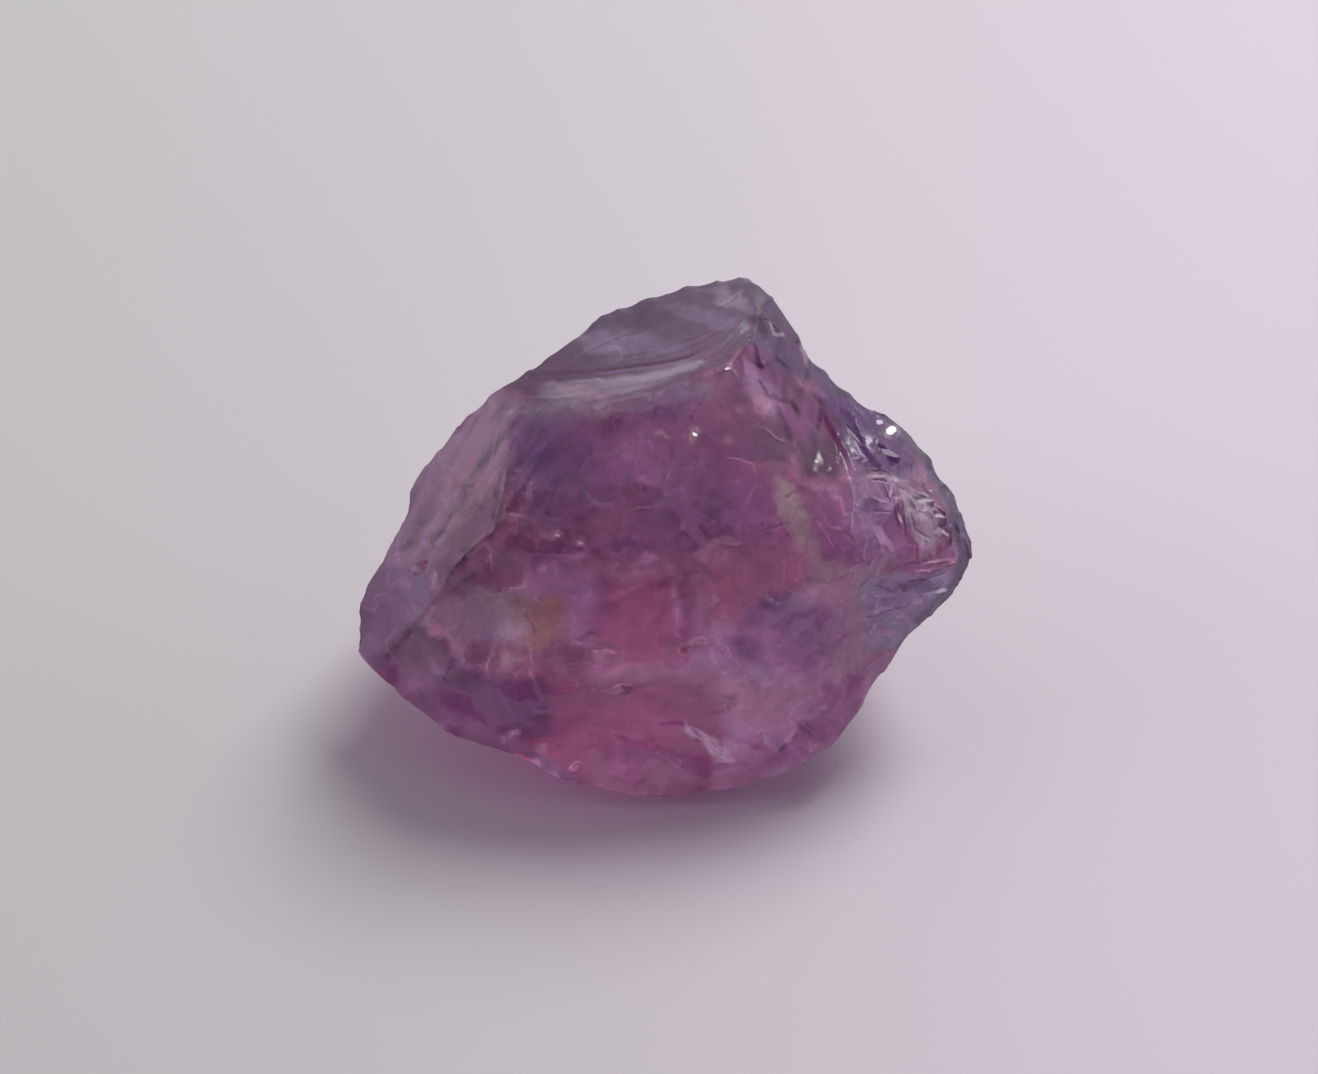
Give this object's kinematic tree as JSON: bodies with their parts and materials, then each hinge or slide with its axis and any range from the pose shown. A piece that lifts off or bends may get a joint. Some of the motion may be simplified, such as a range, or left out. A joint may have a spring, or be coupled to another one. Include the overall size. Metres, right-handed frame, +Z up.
{
  "type": "rough spinel crystal",
  "caption": "Loose rough gem crystal, clear purple, broken on all sides by shell-like fractures, lying on its flattest break.",
  "frame": {"origin": "on the table, under the middle of the stone's bounding box", "axes": "+X to the right as the stone is seen, through the blunt hackly end; +Y away from the viewer; +Z up"},
  "size_m": [0.0122, 0.0094, 0.0073],
  "materials": {
    "spinel": "satin fracture surface on clear purple crystal"
  },
  "bodies": {
    "root": {"rough_spinel": "spinel"}
  },
  "joints": []
}
